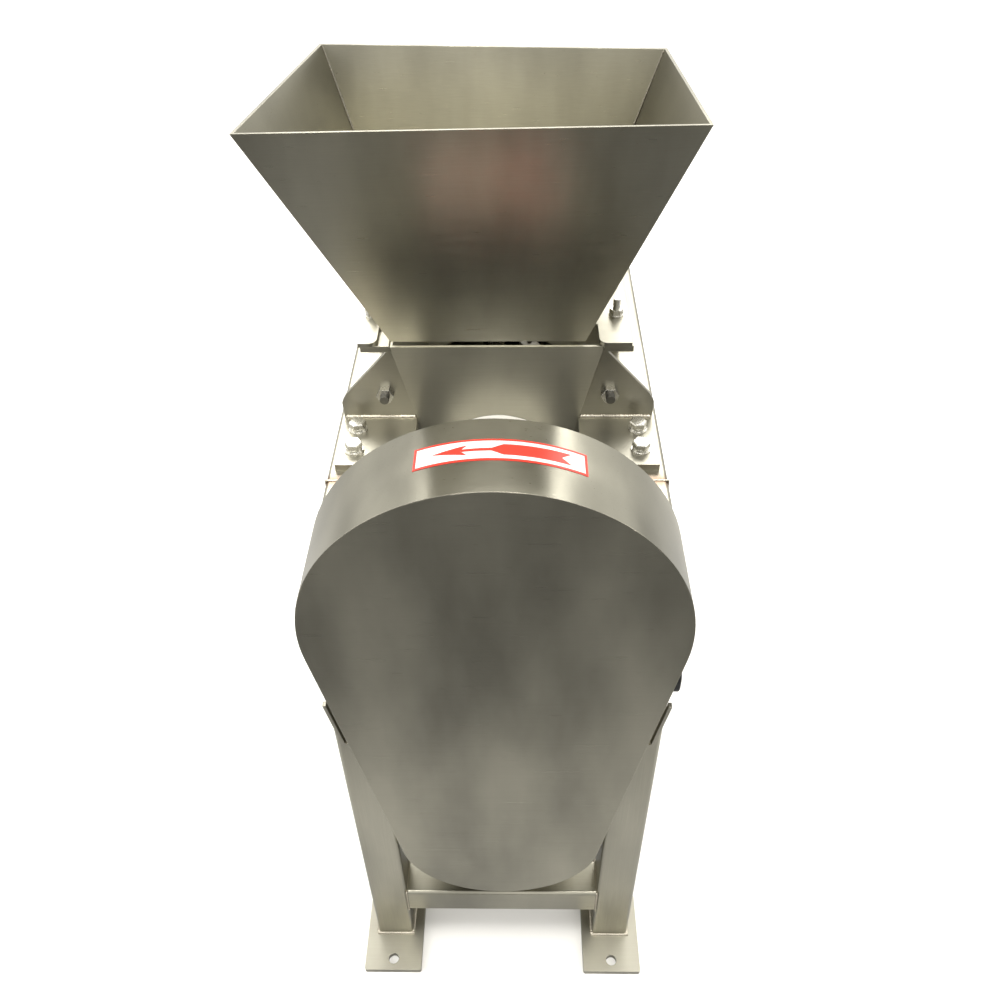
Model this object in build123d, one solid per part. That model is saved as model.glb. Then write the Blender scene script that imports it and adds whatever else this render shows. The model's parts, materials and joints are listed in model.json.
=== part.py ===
from build123d import *
import math
import os

# Grape crusher destemmer, in millimetres.
# Everything is laid out with y measured backwards from the front faces of the front legs, x from the
# machine's centre line and z up from the floor. Writing the files moves the parts back by half the frame's
# length, so that the origin is the centre of the four foot bolt holes, at floor level.

# Frame of square tube
FRAME_WIDTH = 360.0
FRAME_LENGTH = 700.0
FRAME_TOP = 748.0
TUBE = 50.0
TUBE_WALL = 2.0
TUBE_CORNER = 5.0
LOWER_BAR_BOTTOM = 84.0

# Foot plates
FOOT_WIDTH = 80.0
FOOT_LENGTH = 110.0
FOOT_THICKNESS = 8.0
FOOT_OVERHANG = 52.0
FOOT_HOLE_RADIUS = 7.25
FOOT_HOLE_OVERHANG = 36.5

# Belt guard: two arcs joined by their common tangents
GUARD_TOP_RADIUS = 192.0
GUARD_BOTTOM_RADIUS = 124.0
GUARD_FRONT = -8.0
GUARD_BACK = 92.0
GUARD_SHEET = 1.5
GUARD_NOTCH_BOTTOM = 140.0
GUARD_NOTCH_TOP = 616.0

# Shafts and drive
SHAFT_HEIGHT = 686.0
SHAFT_RADIUS = 17.5
MOTOR_HEIGHT = 282.0
MOTOR_SHAFT_RADIUS = 12.0
BIG_PULLEY_RADIUS = 124.0
SMALL_PULLEY_RADIUS = 45.0
PULLEY_FRONT = 55.0
PULLEY_FACE = 35.0
GROOVE_PITCH = 15.0
BELT_WIDTH = 13.0
BELT_HEIGHT = 8.0
RUNNING_GAP = 0.05

# Crushing body between the end plates
END_PLATE_FRONT = 255.0
END_PLATE_BACK = 401.0
END_PLATE = 5.0
THROAT_TOP = 850.0
THROAT_TOP_HALF = 113.0
THROAT_WAIST = 740.0
THROAT_WAIST_HALF = 86.0
THROAT_BOTTOM = 700.0
THROAT_SHEET = 3.0
FOOT_RAIL_TOP = 756.0
BOSS_RADIUS = 74.0

# Hopper: a square mouth below, a wider and slightly uneven hand-folded rim above
HOPPER_SHIFT = -9.0
HOPPER_BOTTOM = 858.0
HOPPER_BOTTOM_HALF = 102.0
HOPPER_SHEET = 2.5
HOPPER_RIM = {
    "front_left": (-217.0, 188.5),
    "front_right": (185.5, 202.0),
    "back_right": (174.0, 428.0),
    "back_left": (-184.5, 456.0),
}
RIM_FRONT = 195.0
RIM_HEIGHT = 1100.0
RIM_FALL = 0.036

# Drum behind the throat
DRUM_BACK = 645.0
CAGE_RADIUS = 97.0
CAGE_BACK = 578.0
TROUGH_RADIUS = 112.0
TROUGH_SHEET = 2.0

MID_LEG = FRAME_WIDTH / 2 - TUBE / 2
RAIL_INNER = FRAME_WIDTH / 2 - TUBE


def block(x0, x1, y0, y1, z0, z1):
    """A box between two corners."""
    return Pos((x0 + x1) / 2, (y0 + y1) / 2, (z0 + z1) / 2) * Box(x1 - x0, y1 - y0, z1 - z0)


def cylinder_y(radius, y0, y1, x=0.0, z=0.0):
    """A cylinder that runs backwards from y0 to y1."""
    return Pos(x, (y0 + y1) / 2, z) * Rot(90, 0, 0) * Cylinder(radius, y1 - y0)


def cylinder_z(radius, z0, z1, x=0.0, y=0.0):
    return Pos(x, y, (z0 + z1) / 2) * Cylinder(radius, z1 - z0)


def cylinder_x(radius, x0, x1, y=0.0, z=0.0):
    return Pos((x0 + x1) / 2, y, z) * Rot(0, 90, 0) * Cylinder(radius, x1 - x0)


def ring_y(outer, inner, y0, y1, x=0.0, z=0.0):
    return cylinder_y(outer, y0, y1, x, z) - cylinder_y(inner, y0 - 1, y1 + 1, x, z)


def hexagon_y(across_flats, y0, y1, x, z):
    """A hexagonal prism that runs backwards from y0 to y1, flats above and below."""
    plane = Plane(origin=(x, y1, z), x_dir=(1, 0, 0), z_dir=(0, -1, 0))
    return extrude(plane * RegularPolygon(across_flats / 2, 6, major_radius=False), y1 - y0)


def hexagon_z(across_flats, z0, z1, x, y, turn=0.0):
    plane = Plane(origin=(x, y, z0)) * Rot(0, 0, turn)
    return extrude(plane * RegularPolygon(across_flats / 2, 6, major_radius=False), z1 - z0)


def plate_xz(points, y0, y1):
    """A flat plate standing across the machine, given its outline as (x, z) points."""
    plane = Plane(origin=(0, y1, 0), x_dir=(1, 0, 0), z_dir=(0, -1, 0))
    return extrude(plane * make_face(Polyline(*points, close=True)), y1 - y0)


def square_tube(length):
    """A square tube along z from 0, with rounded outer corners."""
    outer = extrude(RectangleRounded(TUBE, TUBE, TUBE_CORNER), length)
    inner = extrude(Rectangle(TUBE - 2 * TUBE_WALL, TUBE - 2 * TUBE_WALL), length)
    return outer - inner


def tube_z(x, y, z0, z1):
    return Pos(x, y, z0) * square_tube(z1 - z0)


def tube_y(x, z, y0, y1):
    return Pos(x, y0, z) * Rot(-90, 0, 0) * square_tube(y1 - y0)


def tube_x(y, z, x0, x1):
    return Pos(x0, y, z) * Rot(0, 90, 0) * square_tube(x1 - x0)


# ---- frame -------------------------------------------------------------------------------------------

def legs():
    """Four upright tubes with closed tops, standing on their foot plates. The rails butt against them."""
    made = {}
    for side, x in (("left", -MID_LEG), ("right", MID_LEG)):
        for end, y in (("front", TUBE / 2), ("rear", FRAME_LENGTH - TUBE / 2)):
            cap = block(x - 23.5, x + 23.5, y - 23.5, y + 23.5, FRAME_TOP - TUBE_WALL, FRAME_TOP)
            made[f"leg_{end}_{side}"] = tube_z(x, y, FOOT_THICKNESS, FRAME_TOP) + cap
    return made


def rails():
    """Long tubes between front and rear legs: a pair that carries the body and a pair near the floor."""
    made = {}
    for side, x in (("left", -MID_LEG), ("right", MID_LEG)):
        upper = tube_y(x, FRAME_TOP - TUBE / 2, TUBE, FRAME_LENGTH - TUBE)
        made[f"side_rail_{side}"] = upper - bolt_holes(5.5)
        made[f"lower_rail_{side}"] = tube_y(x, LOWER_BAR_BOTTOM + TUBE / 2, TUBE, FRAME_LENGTH - TUBE)
    for end, y in (("front", TUBE / 2), ("rear", FRAME_LENGTH - TUBE / 2)):
        made[f"lower_crossbar_{end}"] = tube_x(y, LOWER_BAR_BOTTOM + TUBE / 2, -RAIL_INNER, RAIL_INNER)
    return made


MOTOR_TUBES_Y = (175.0, 290.0)
MOTOR_BOLTS_X = (-70.0, 70.0)
MOTOR_PLATE_BOTTOM = LOWER_BAR_BOTTOM + 2 * TUBE
MOTOR_PLATE_TOP = MOTOR_HEIGHT - 90.0


def motor_cross_tubes():
    """Two tubes across the lower rails, which carry the motor plate."""
    z = LOWER_BAR_BOTTOM + 1.5 * TUBE
    tubes = []
    for y in MOTOR_TUBES_Y:
        tube = tube_x(y, z, -FRAME_WIDTH / 2 + 5, FRAME_WIDTH / 2 - 5)
        for x in MOTOR_BOLTS_X:
            tube -= cylinder_z(4.5, MOTOR_PLATE_BOTTOM - 10, MOTOR_PLATE_BOTTOM + 1, x, y)
        tubes.append(tube)
    return tubes


def foot_plates():
    """One plate under each leg, with its anchor hole outside the frame."""
    plates = []
    for x in (-MID_LEG, MID_LEG):
        for y0, y1, hole in (
            (-FOOT_OVERHANG, FOOT_LENGTH - FOOT_OVERHANG, -FOOT_HOLE_OVERHANG),
            (FRAME_LENGTH + FOOT_OVERHANG - FOOT_LENGTH, FRAME_LENGTH + FOOT_OVERHANG,
             FRAME_LENGTH + FOOT_HOLE_OVERHANG),
        ):
            flat = Pos(x, (y0 + y1) / 2, 0) * RectangleRounded(FOOT_WIDTH, FOOT_LENGTH, 3)
            plate = extrude(flat, FOOT_THICKNESS)
            plates.append(plate - cylinder_z(FOOT_HOLE_RADIUS, -1, FOOT_THICKNESS + 1, x, hole))
    return plates


# ---- hopper and throat -------------------------------------------------------------------------------

def hopper():
    """Four sheet walls from the mouth above the throat to a slightly uneven rim that falls backwards."""
    left, right = HOPPER_SHIFT - HOPPER_BOTTOM_HALF, HOPPER_SHIFT + HOPPER_BOTTOM_HALF
    front, back = END_PLATE_FRONT - 5, END_PLATE_BACK - 3
    mouth = [(left, front), (right, front), (right, back), (left, back)]
    rim = [HOPPER_RIM[k] for k in ("front_left", "front_right", "back_right", "back_left")]
    outside = tapered_block(mouth, rim, 0.0)
    return outside - tapered_block(inset(mouth), inset(rim), 1.0)


def inset(ring):
    """The same four corners, moved in by the sheet's thickness."""
    steps = zip(ring, (1, -1, -1, 1), (1, 1, -1, -1))
    return [(x + sx * HOPPER_SHEET, y + sy * HOPPER_SHEET) for (x, y), sx, sy in steps]


def tapered_block(mouth, rim, reach):
    """A solid with ruled walls from a level ring of four corners to the rim's sloping ring."""
    low = [(x, y, HOPPER_BOTTOM - reach) for x, y in mouth]
    high = [(x, y, RIM_HEIGHT - RIM_FALL * (y - RIM_FRONT) + reach) for x, y in rim]
    rings = [make_face(Polyline(*ring, close=True)) for ring in (low, high)]
    return loft(rings, ruled=True)


def throat_half(z):
    """Half the throat's outer width at a height."""
    slope = (THROAT_TOP_HALF - THROAT_WAIST_HALF) / (THROAT_TOP - THROAT_WAIST)
    return THROAT_WAIST_HALF + (z - THROAT_WAIST) * slope


def throat_wedge(grow, y0, y1, z0=THROAT_BOTTOM, z1=THROAT_TOP):
    low, high = throat_half(z0) + grow, throat_half(z1) + grow
    return plate_xz([(-low, z0), (low, z0), (high, z1), (-high, z1)], y0, y1)


def throat():
    """The narrowing duct below the hopper. Its front wall is cut round the bearing boss."""
    front = END_PLATE_FRONT - THROAT_SHEET
    body = throat_wedge(0, front, END_PLATE_BACK)
    inside = throat_wedge(-THROAT_SHEET, END_PLATE_FRONT, END_PLATE_BACK - THROAT_SHEET, THROAT_BOTTOM - 1,
                          THROAT_TOP + 1)
    body -= inside
    body -= cylinder_y(BOSS_RADIUS + 0.3, front - 1, END_PLATE_FRONT, 0, SHAFT_HEIGHT)
    body -= cylinder_y(CAGE_RADIUS, END_PLATE_BACK - THROAT_SHEET - 1, END_PLATE_BACK + 1, 0, SHAFT_HEIGHT)
    return body


FLANGE_HALF = 144.0
FLANGE_TOP = 852.0
FLANGE_THICKNESS = 7.0
FLANGE_FRONT = 250.0
FLANGE_BACK = 425.0
HOPPER_FOOT_TOP = 857.0
HOPPER_FOOT_FRONT = 248.0
HOPPER_FOOT_BACK = 422.0
HOPPER_FOOT_NOTCH = 15.0
HOPPER_BOLTS = ((129.0, 304.0), (129.0, 372.0), (-136.0, 304.0), (-136.0, 372.0))


def throat_flange():
    """A flat U of bar round the throat's top, open at the front."""
    bottom = FLANGE_TOP - FLANGE_THICKNESS
    made = block(-FLANGE_HALF, FLANGE_HALF, FLANGE_FRONT, FLANGE_BACK, bottom, FLANGE_TOP)
    made -= throat_wedge(0.2, FLANGE_FRONT - 10, END_PLATE_BACK + 0.2, bottom - 2, FLANGE_TOP + 2)
    for x, y in HOPPER_BOLTS:
        made -= cylinder_z(4.5, FLANGE_TOP - 20, FLANGE_TOP + 5, x, y)
    return made


def hopper_feet():
    """Flat bars along the hopper's sides, notched and rounded at the front inner corner."""
    made = {}
    for side, inner, outer in (("right", 93.0, 142.0), ("left", -111.0, -146.0)):
        sign = 1 if outer > 0 else -1
        notch = inner + sign * HOPPER_FOOT_NOTCH
        front, back = HOPPER_FOOT_FRONT, HOPPER_FOOT_BACK
        outline = [(notch, front), (outer, front), (outer, back), (inner, back), (inner, front + 52),
                   (notch, front + 36)]
        bar = extrude(Plane(origin=(0, 0, FLANGE_TOP)) * make_face(Polyline(*outline, close=True)),
                      HOPPER_FOOT_TOP - FLANGE_TOP)
        corners = bar.edges().filter_by(Axis.Z).filter_by_position(Axis.Y, front - 1, front + 1)
        bar = fillet(corners.sort_by(Axis.X)[0 if sign > 0 else -1], 9)
        for x, y in HOPPER_BOLTS:
            bar -= cylinder_z(4.5, FLANGE_TOP - 5, FLANGE_TOP + 10, x, y)
        made[f"hopper_foot_{side}"] = bar
    return made


def hopper_bolts():
    """M8 bolts with their heads below the flange and their ends up."""
    bottom = FLANGE_TOP - FLANGE_THICKNESS
    return [cylinder_z(4, bottom - 1, HOPPER_FOOT_TOP + 20, x, y) + hexagon_z(13, bottom - 6, bottom, x, y)
            for x, y in HOPPER_BOLTS]


def hopper_nuts():
    """M8 nuts on washers, on top of the hopper's feet."""
    nuts = []
    for x, y in HOPPER_BOLTS:
        nut = hexagon_z(13, HOPPER_FOOT_TOP + 1.5, HOPPER_FOOT_TOP + 8, x, y)
        nut += cylinder_z(8, HOPPER_FOOT_TOP, HOPPER_FOOT_TOP + 1.5, x, y)
        nuts.append(nut - cylinder_z(4, HOPPER_FOOT_TOP - 1, HOPPER_FOOT_TOP + 10, x, y))
    return nuts


# ---- end plates and what bolts them down -------------------------------------------------------------

TIE_ROD_X = 123.0
TIE_ROD_Z = 789.0
TIE_ROD_FRONT = 15.0
TIE_ROD_REAR = 13.0
GUSSET_HALF = 172.0
GUSSET_EDGE = 20.0
REAR_GUSSET_HALF = 148.0
GUSSET_TOP = FLANGE_TOP - FLANGE_THICKNESS
HOUSING_SPIGOT = 37.0


def gussets(y0, half):
    """The two triangular cheeks beside the throat, out to a half width at their feet."""
    cheeks = []
    for s in (-1, 1):
        outline = [
            (s * (throat_half(FOOT_RAIL_TOP) + 0.2), FOOT_RAIL_TOP),
            (s * half, FOOT_RAIL_TOP),
            (s * (half + 1), FOOT_RAIL_TOP + GUSSET_EDGE),
            (s * (half - 5), FOOT_RAIL_TOP + GUSSET_EDGE + 11),
            (s * (throat_half(GUSSET_TOP) + 3), GUSSET_TOP),
            (s * (throat_half(GUSSET_TOP) + 0.2), GUSSET_TOP),
        ]
        cheek = plate_xz(outline, y0, y0 + END_PLATE)
        corner = FOOT_RAIL_TOP + GUSSET_EDGE
        rounded = cheek.edges().filter_by(Axis.Y).filter_by_position(Axis.Z, corner - 1, corner + 12)
        hole = cylinder_y(5.5, y0 - 1, y0 + END_PLATE + 1, s * TIE_ROD_X, TIE_ROD_Z)
        cheeks.append(fillet(rounded, 5) - hole)
    return cheeks


def end_plate(y0, opening, half):
    """The gussets above the rails and the bulkhead between them, which closes the trough."""
    low, rail = SHAFT_HEIGHT - TROUGH_RADIUS, RAIL_INNER
    shoulder = FOOT_RAIL_TOP
    bulkhead = plate_xz([(-rail, low), (rail, low), (rail, shoulder), (-rail, shoulder)], y0, y0 + END_PLATE)
    throat_gap = throat_wedge(0.2, y0 - 1, y0 + END_PLATE + 1, THROAT_BOTTOM, THROAT_TOP)
    plate = bulkhead - throat_gap
    for cheek in gussets(y0, half):
        plate += cheek
    return plate - cylinder_y(opening, y0 - 1, y0 + END_PLATE + 1, 0, SHAFT_HEIGHT)


def front_end_plate():
    return end_plate(END_PLATE_FRONT, HOUSING_SPIGOT, GUSSET_HALF)


def rear_end_plate():
    return end_plate(END_PLATE_BACK, CAGE_RADIUS + 0.2, REAR_GUSSET_HALF)


FOOT_PLATE_FRONT = 171.0
REAR_FOOT_BACK = 480.0
REAR_FOOT_HALF = 165.0
FRAME_BOLTS = [(x, y) for x in (-154.0, 154.0) for y in (196.0, 232.0, 430.0, 462.0)]


def front_foot_plate():
    """A plate across both rails in front of the front end plate, cut out round the bearing boss."""
    plate = block(-GUSSET_HALF, GUSSET_HALF, FOOT_PLATE_FRONT, END_PLATE_FRONT, FRAME_TOP, FOOT_RAIL_TOP)
    notch = throat_half(FOOT_RAIL_TOP) + 0.2
    front, back = FOOT_PLATE_FRONT + 12, END_PLATE_FRONT + 1
    plate -= block(-notch, notch, front, back, FRAME_TOP - 1, FOOT_RAIL_TOP + 1)
    return plate - bolt_holes(5.5)


def rear_foot_plates():
    """One plate on each rail behind the rear end plate."""
    plates = []
    for s in (-1, 1):
        x0, x1 = sorted((s * (TROUGH_RADIUS + 6), s * REAR_FOOT_HALF))
        plate = block(x0, x1, END_PLATE_BACK + END_PLATE, REAR_FOOT_BACK, FRAME_TOP, FOOT_RAIL_TOP)
        plates.append(plate - bolt_holes(5.5))
    return plates


def bolt_holes(radius):
    holes = cylinder_z(radius, FRAME_TOP - 10, FOOT_RAIL_TOP + 10, *FRAME_BOLTS[0])
    for x, y in FRAME_BOLTS[1:]:
        holes += cylinder_z(radius, FRAME_TOP - 10, FOOT_RAIL_TOP + 10, x, y)
    return holes


def frame_bolts():
    """M10 hexagon bolts through the foot plates into the rails."""
    bolts = []
    for i, (x, y) in enumerate(FRAME_BOLTS):
        head = hexagon_z(16.5, FOOT_RAIL_TOP + 5, FOOT_RAIL_TOP + 11.5, x, y, 13 * i)
        head = chamfer(head.edges().group_by(Axis.Z)[-1], 1.0)
        bolts.append(head + cylinder_z(5, FRAME_TOP - 12, FOOT_RAIL_TOP + 5, x, y))
    return bolts


def frame_washers():
    """A flat washer and a spring washer under each M10 head."""
    rings = []
    for x, y in FRAME_BOLTS:
        for radius, z0, z1 in ((10.5, 0.0, 2.0), (8.8, 2.0, 5.0)):
            ring = cylinder_z(radius, FOOT_RAIL_TOP + z0, FOOT_RAIL_TOP + z1, x, y)
            rings.append(ring - cylinder_z(5.2, FOOT_RAIL_TOP - 1, FOOT_RAIL_TOP + 6, x, y))
    return rings


def tie_rods():
    """M10 studs that clamp the two end plates on the throat."""
    y0, y1 = END_PLATE_FRONT - TIE_ROD_FRONT, END_PLATE_BACK + END_PLATE + TIE_ROD_REAR
    return [cylinder_y(5, y0, y1, s * TIE_ROD_X, TIE_ROD_Z) for s in (-1, 1)]


def tie_rod_nuts():
    nuts = []
    for s in (-1, 1):
        for y0 in (END_PLATE_FRONT - 8, END_PLATE_BACK + END_PLATE):
            nut = hexagon_y(17, y0, y0 + 8, s * TIE_ROD_X, TIE_ROD_Z)
            nuts.append(nut - cylinder_y(5, y0 - 1, y0 + 9, s * TIE_ROD_X, TIE_ROD_Z))
    return nuts


# ---- drum, trough and chutes -------------------------------------------------------------------------

CAGE_HOLE_RADIUS = 12.5
CAGE_ROWS = 5
CAGE_HOLES_ROUND = 12
TROUGH_FRONT = END_PLATE_FRONT + END_PLATE
MUST_OPENING = (-80.0, 80.0, 425.0, 560.0)
STEM_OPENING = (-80.0, 80.0, 582.0, 620.0)


def drum_cage():
    """The perforated drum: grapes fall through its holes and stems are swept out of its open rear end."""
    front = END_PLATE_BACK - THROAT_SHEET + 0.2
    shell = ring_y(CAGE_RADIUS - 0.3, CAGE_RADIUS - 2.3, front, CAGE_BACK, 0, SHAFT_HEIGHT)
    pitch = (CAGE_BACK - END_PLATE_BACK) / (CAGE_ROWS + 0.5)
    for row in range(CAGE_ROWS):
        y = END_PLATE_BACK + 12 + pitch * (row + 0.5)
        for k in range(CAGE_HOLES_ROUND):
            turn = 360 / CAGE_HOLES_ROUND * (k + 0.5 * (row % 2))
            drill = Pos(0, y, SHAFT_HEIGHT) * Rot(0, turn, 0) * Pos(0, 0, CAGE_RADIUS)
            shell -= drill * Cylinder(CAGE_HOLE_RADIUS, 12)
    return shell


def u_section(radius, top, y0, y1):
    """A half round below the shaft with straight sides up to a height."""
    lower = cylinder_y(radius, y0, y1, 0, SHAFT_HEIGHT)
    return lower + block(-radius, radius, y0, y1, SHAFT_HEIGHT, top) - block(
        -radius, radius, y0 - 1, y1 + 1, top, top + 2 * radius)


def drum_trough():
    """The U of sheet under the drum in two lengths, one each side of the rear end plate."""
    outer = u_section(TROUGH_RADIUS, FRAME_TOP, TROUGH_FRONT, DRUM_BACK)
    inner = u_section(TROUGH_RADIUS - TROUGH_SHEET, FRAME_TOP + 5, TROUGH_FRONT - 1, DRUM_BACK + 1)
    made = outer - inner
    for x0, x1, y0, y1 in (MUST_OPENING, STEM_OPENING):
        made -= block(x0, x1, y0, y1, SHAFT_HEIGHT - TROUGH_RADIUS - 5, SHAFT_HEIGHT - 60)
    made -= block(-150, 150, END_PLATE_BACK - 0.2, END_PLATE_BACK + END_PLATE + 0.2, 500, FRAME_TOP + 5)
    return made


COVER_CROWN = 802.0
COVER_SHEET = 2.0
COVER_FLANGE = 150.0


def drum_cover():
    """The arched lid over the drum, resting on both rails."""
    y0, y1 = REAR_FOOT_BACK + 2, DRUM_BACK
    lid = hollow_arch(y0, y1 - COVER_SHEET, y1)
    for x0, x1 in ((-COVER_FLANGE, -TROUGH_RADIUS), (TROUGH_RADIUS, COVER_FLANGE)):
        lid += block(x0, x1, y0, y1, FRAME_TOP, FRAME_TOP + COVER_SHEET)
    return lid


def drum_bridge():
    """The short arched cover between the rear end plate and the lid."""
    y0, y1 = END_PLATE_BACK + END_PLATE + 0.2, REAR_FOOT_BACK + 1.5
    return hollow_arch(y0, y1 + 1, y1)


def hollow_arch(y0, inside_end, y1):
    """An arched cover of sheet whose hollow reaches back to inside_end."""
    outside = arch(TROUGH_RADIUS, COVER_CROWN, y0, y1)
    return outside - arch(TROUGH_RADIUS - COVER_SHEET, COVER_CROWN - COVER_SHEET, y0 - 1, inside_end)


def arch(half, crown, y0, y1):
    """A solid arch from the rails' top to a crown height."""
    z = FRAME_TOP
    plane = Plane(origin=(0, y1, 0), x_dir=(1, 0, 0), z_dir=(0, -1, 0))
    outline = Polyline((-half, z + 12), (-half, z), (half, z), (half, z + 12)) + ThreePointArc(
        (half, z + 12), (0, crown), (-half, z + 12))
    return extrude(plane * make_face(outline), y1 - y0)


def rear_wall():
    """The plate that closes trough and lid at the back, ties the rails and carries the rear bearing."""
    y0, y1 = DRUM_BACK, DRUM_BACK + END_PLATE
    lower = block(-RAIL_INNER, RAIL_INNER, y0, y1, SHAFT_HEIGHT - TROUGH_RADIUS, FRAME_TOP)
    upper = arch(TROUGH_RADIUS + 4, COVER_CROWN + 2, y0, y1)
    return lower + upper - cylinder_y(25, y0 - 1, y1 + 1, 0, SHAFT_HEIGHT)


def duct(top, bottom):
    """A straight-sided duct between two level rectangles, each (x0, x1, y0, y1, z), open at both ends."""
    def solid(grow, reach):
        faces = []
        for (x0, x1, y0, y1, z), dz in ((top, reach), (bottom, -reach)):
            mid = Pos((x0 + x1) / 2, (y0 + y1) / 2, z + dz)
            faces.append(mid * Rectangle(x1 - x0 + 2 * grow, y1 - y0 + 2 * grow))
        return loft(faces)
    return solid(2.0, 0) - solid(0, 1)


CHUTE_TOP = 605.0
CHUTE_FIT = 2.5
MUST_OUTLET = (-60.0, 60.0, 445.0, 545.0, 455.0)
STEM_OUTLET = (-76.0, 76.0, 690.0, 738.0, 440.0)


def must_chute():
    """The funnel that drops juice and skins behind the motor."""
    x0, x1, y0, y1 = MUST_OPENING
    made = duct((x0 + CHUTE_FIT, x1 - CHUTE_FIT, y0 + CHUTE_FIT, y1 - CHUTE_FIT, CHUTE_TOP), MUST_OUTLET)
    return made - cylinder_y(TROUGH_RADIUS + 0.2, y0 - 5, y1 + 5, 0, SHAFT_HEIGHT)


def stem_chute():
    """The slide that throws the stems out behind the rear legs."""
    x0, x1, y0, y1 = STEM_OPENING
    made = duct((x0 + CHUTE_FIT, x1 - CHUTE_FIT, y0 + CHUTE_FIT, y1 - CHUTE_FIT, CHUTE_TOP), STEM_OUTLET)
    return made - cylinder_y(TROUGH_RADIUS + 0.2, y0 - 5, DRUM_BACK + 6, 0, SHAFT_HEIGHT)


# ---- shaft, rotor and bearings -----------------------------------------------------------------------

BEARING_RADIUS = 36.0
FRONT_BEARING = (200.0, 217.0)
REAR_BEARING = (655.0, 672.0)
SHAFT_FRONT = 45.0
SHAFT_BACK = 684.0
SLEEVE_RADIUS = 26.0
DISC_COUNT = 6
DISC_TIP_RADIUS = 70.0
DISC_ROOT_RADIUS = 44.0
DISC_TEETH = 8
DISC_THICKNESS = 10.0


def main_shaft():
    """One straight shaft through pulley, bearings, rotor and drum."""
    shaft = cylinder_y(SHAFT_RADIUS, SHAFT_FRONT, SHAFT_BACK, 0, SHAFT_HEIGHT)
    ends = shaft.edges().filter_by(GeomType.CIRCLE).group_by(Axis.Y)
    return chamfer(ends[0] + ends[-1], 1.5)


def star_disc(y0, turn):
    """A toothed disc: triangular teeth round a hub."""
    points = []
    for k in range(2 * DISC_TEETH):
        radius = DISC_TIP_RADIUS if k % 2 == 0 else DISC_ROOT_RADIUS
        angle = math.radians(turn) + math.pi / DISC_TEETH * k
        points.append((radius * math.sin(angle), SHAFT_HEIGHT + radius * math.cos(angle)))
    return plate_xz(points, y0, y0 + DISC_THICKNESS)


def crushing_rotor():
    """Toothed discs on a sleeve under the throat, each turned a little from the last."""
    y0, y1 = END_PLATE_FRONT + END_PLATE + 2, END_PLATE_BACK - 5
    rotor = cylinder_y(SLEEVE_RADIUS, y0, y1, 0, SHAFT_HEIGHT)
    step = (y1 - y0) / DISC_COUNT
    for i in range(DISC_COUNT):
        rotor += star_disc(y0 + step * (i + 0.5) - DISC_THICKNESS / 2, 7.5 * i)
    return rotor - cylinder_y(SHAFT_RADIUS, y0 - 1, y1 + 1, 0, SHAFT_HEIGHT)


PADDLE_COUNT = 8
PADDLE_TURN = 72.0
PADDLE_RADIUS = 72.0


def destemming_paddles():
    """Arms with flat blades along a helix inside the drum."""
    y0, y1 = END_PLATE_BACK - 4, DRUM_BACK - 5
    rotor = cylinder_y(SLEEVE_RADIUS - 1, y0, y1, 0, SHAFT_HEIGHT)
    step = (DRUM_BACK - END_PLATE_BACK - 40) / PADDLE_COUNT
    for i in range(PADDLE_COUNT):
        place = Pos(0, y0 + 28 + step * i, SHAFT_HEIGHT) * Rot(0, PADDLE_TURN * i, 0)
        rotor += place * Pos(0, 0, 45) * Cylinder(6, 50)
        rotor += place * Pos(0, 0, PADDLE_RADIUS) * Rot(0, 0, 30) * Box(30, 5, 28)
    return rotor - cylinder_y(SHAFT_RADIUS, y0 - 1, y1 + 1, 0, SHAFT_HEIGHT)


def ball_bearing(span):
    y0, y1 = span
    bearing = ring_y(BEARING_RADIUS, SHAFT_RADIUS + RUNNING_GAP, y0, y1, 0, SHAFT_HEIGHT)
    for y in (y0, y1):
        bearing -= ring_y(30, 23, y - 1.2, y + 1.2, 0, SHAFT_HEIGHT)
    return bearing


BOSS_FRONT = 188.0


def front_bearing_housing():
    """The round boss on the front end plate, bored for the bearing and stepped down at its nose."""
    back = END_PLATE_FRONT
    boss = cylinder_y(BOSS_RADIUS, BOSS_FRONT, back, 0, SHAFT_HEIGHT)
    boss = fillet(boss.edges().group_by(Axis.Y)[0], 6)
    boss += cylinder_y(HOUSING_SPIGOT - 0.2, back, back + END_PLATE, 0, SHAFT_HEIGHT)
    boss -= cylinder_y(BEARING_RADIUS, BOSS_FRONT - 1, FRONT_BEARING[1], 0, SHAFT_HEIGHT)
    boss -= cylinder_y(SHAFT_RADIUS + 4, BOSS_FRONT - 1, back + END_PLATE + 1, 0, SHAFT_HEIGHT)
    return boss


def front_seal():
    """A lip seal in the boss in front of the bearing."""
    y0, y1 = BOSS_FRONT + 2, FRONT_BEARING[0] - 0.5
    return ring_y(BEARING_RADIUS, SHAFT_RADIUS + RUNNING_GAP, y0, y1, 0, SHAFT_HEIGHT)


def rear_bearing_housing():
    """The bearing cup bolted on the rear wall."""
    y0 = DRUM_BACK + END_PLATE
    cup = cylinder_y(62, y0, y0 + 8, 0, SHAFT_HEIGHT) + cylinder_y(46, y0, y0 + 40, 0, SHAFT_HEIGHT)
    cup = fillet(cup.edges().group_by(Axis.Y)[-1], 4)
    cup -= cylinder_y(BEARING_RADIUS, y0 + 5, REAR_BEARING[1], 0, SHAFT_HEIGHT)
    cup -= cylinder_y(24, y0 - 1, y0 + 36, 0, SHAFT_HEIGHT)
    for k in range(4):
        turn = math.radians(45 + 90 * k)
        cup -= cylinder_y(4.5, y0 - 1, y0 + 9, 54 * math.cos(turn), SHAFT_HEIGHT + 54 * math.sin(turn))
    return cup


# ---- belt drive --------------------------------------------------------------------------------------

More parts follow.
